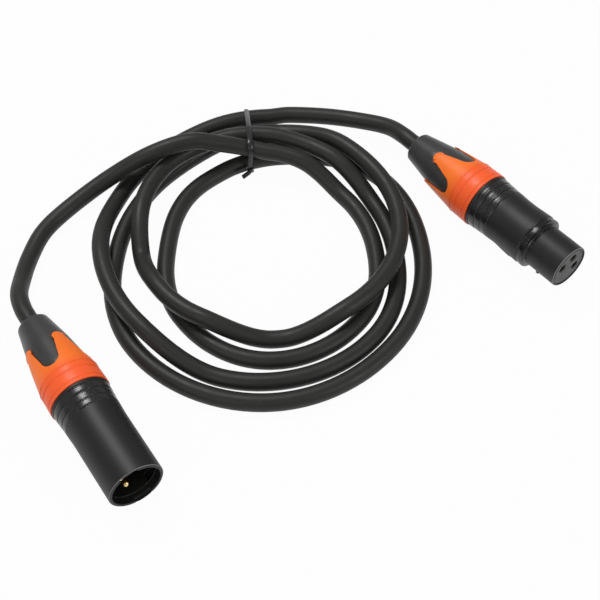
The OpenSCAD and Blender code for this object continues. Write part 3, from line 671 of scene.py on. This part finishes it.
class XLR_OT_glands(bpy.types.Operator):
    """Finish the bushings with their petals, the boots and the chucks."""

    bl_idname = "xlr.glands"
    bl_label = "Glands"

    def execute(self, context):
        s = context.scene.xlr_gland
        for side, place, heading, length in CONNECTORS:
            made = Finish(f"Orange Bushing {side}")
            along = made.along(made.on_connector(place, heading, length))
            drift = made.drift(70.0)
            petal, band = (made.shade(drift, colour, 0.95, 1.03)
                           for colour in (s.petal_colour, s.band_colour))
            made.colour(made.mix(made.edge(along, *BAND), petal, band))
            made.rough(made.drift(300.0, low=0.36, high=0.46))
            made.bumps(made.noise(2400.0, 2.0), 0.00001)
            made.put(Specular_IOR_Level=0.3)
            dress([f"{side}_bushing"], made, CORNER)
        dress([f"{side}_boot" for side in SIDES],
              moulded("Boot Rubber", s.boot_colour, 0.4, depth=0.00003,
                      Sheen_Weight=0.08, Sheen_Roughness=0.5), CORNER)
        dress([f"{side}_chuck" for side in SIDES],
              moulded("Chuck Plastic", (0.75, 0.75, 0.72), 0.4))
        return {"FINISHED"}


class XLR_OT_contacts(bpy.types.Operator):
    """Finish the contacts, the latch's pin and its spring."""

    bl_idname = "xlr.contacts"
    bl_label = "Contacts"

    def execute(self, context):
        s = context.scene.xlr_contact
        dress([f"{kind}_{n}" for kind in ("male_pin", "female_socket")
               for n in CONTACTS],
              moulded("Gold Plating", s.colour, s.roughness, grain=3000.0,
                      depth=0.000004, spread=0.05, Metallic=1.0))
        dress(["female_latch_pin", "female_latch_spring"],
              moulded("Spring Steel", (0.55, 0.55, 0.56), 0.3, spread=0.05,
                      Metallic=1.0))
        return {"FINISHED"}


class XLR_OT_stage(bpy.types.Operator):
    """Make the floor, the soft lights and the camera."""

    bl_idname = "xlr.stage"
    bl_label = "Stage"

    def execute(self, context):
        s = context.scene.xlr_stage
        corners = [(x * FLOOR_HALF, y * FLOOR_HALF, -FLOOR_DROP)
                   for x, y in ((-1, -1), (1, -1), (1, 1), (-1, 1))]
        floor = mesh_piece("Floor", corners, [(0, 1, 2, 3)])
        floor.data.materials.append(self.floor_finish(s).material)

        world = bpy.data.worlds.new("Studio")
        context.scene.world = world
        world.use_nodes = True
        shade = world.node_tree.nodes["Background"]
        shade.inputs["Color"].default_value = WHITE
        shade.inputs["Strength"].default_value = s.world_level

        for name, place, width, power in LAMPS:
            lamp = bpy.data.lights.new(name, "AREA")
            lamp.shape = "SQUARE"
            lamp.size = width
            lamp.energy = power
            holder = placed(name, lamp)
            holder.location = place
            holder.rotation_mode = "QUATERNION"
            holder.rotation_quaternion = (-Vector(place)).to_track_quat("-Z", "Y")

        camera = bpy.data.cameras.new("Camera")
        camera.sensor_width = SENSOR_WIDTH
        camera.lens = s.camera_lens
        camera.clip_start, camera.clip_end = CLIP_START, CLIP_END
        holder = placed("Camera", camera)
        holder.location = s.camera_place
        holder.rotation_euler = (s.camera_tilt, 0.0, 0.0)
        context.scene.camera = holder
        context.scene.view_settings.view_transform = "Standard"
        return {"FINISHED"}

    def floor_finish(self, s):
        """Pale matt floor that the camera and reflections see as nearly plain white."""
        made = Finish("Studio Floor")
        made.put(Base_Color=(*s.floor_colour, 1.0), Roughness=0.9,
                 Specular_IOR_Level=0.1)
        path = made.node("ShaderNodeLightPath")
        seen = made.combine("MAXIMUM", path.outputs["Is Camera Ray"],
                            path.outputs["Is Glossy Ray"])
        level = made.node("ShaderNodeMath", operation="MULTIPLY")
        level.inputs[1].default_value = s.floor_glow
        made.link(seen, level.inputs[0])
        glow = made.node("ShaderNodeEmission")
        glow.inputs["Color"].default_value = WHITE
        both = made.node("ShaderNodeMixShader")
        made.link(level.outputs["Value"], both.inputs["Fac"])
        made.link(made.shader.outputs["BSDF"], both.inputs[1])
        made.link(glow.outputs["Emission"], both.inputs[2])
        made.link(both.outputs["Shader"],
                  made.tree.nodes["Material Output"].inputs["Surface"])
        return made


class XLR_PT_panel(bpy.types.Panel):
    """Lists the settings and the steps in the 3D view's sidebar."""

    bl_label = "Cable Coil"
    bl_idname = "XLR_PT_panel"
    bl_space_type = "VIEW_3D"
    bl_region_type = "UI"
    bl_category = "Cable Coil"

    def draw(self, context):
        for group in GROUPS:
            box = self.layout.box()
            settings = getattr(context.scene, group)
            for key in settings.bl_rna.properties.keys():
                if key not in ("rna_type", "name"):
                    box.prop(settings, key)
        for step in STEPS:
            self.layout.operator(step.bl_idname)


GROUPS = {
    "xlr_cable": CableSettings,
    "xlr_shell": ShellSettings,
    "xlr_gland": GlandSettings,
    "xlr_contact": ContactSettings,
    "xlr_stage": StageSettings,
}
STEPS = (XLR_OT_stage, XLR_OT_cable, XLR_OT_shells, XLR_OT_glands, XLR_OT_contacts,
         XLR_OT_tie)
CLASSES = (*GROUPS.values(), *STEPS, XLR_PT_panel)


def register():
    """Make the classes known and hang the settings on the scene."""
    for made in CLASSES:
        bpy.utils.register_class(made)
    for key, made in GROUPS.items():
        setattr(bpy.types.Scene, key, PointerProperty(type=made))


def unregister():
    """Undo what register does."""
    for key in GROUPS:
        delattr(bpy.types.Scene, key)
    for made in reversed(CLASSES):
        bpy.utils.unregister_class(made)


def main():
    """Run the steps in order."""
    register()
    for step in STEPS:
        group, name = step.bl_idname.split(".")
        getattr(getattr(bpy.ops, group), name)()


if __name__ == "__main__":
    main()
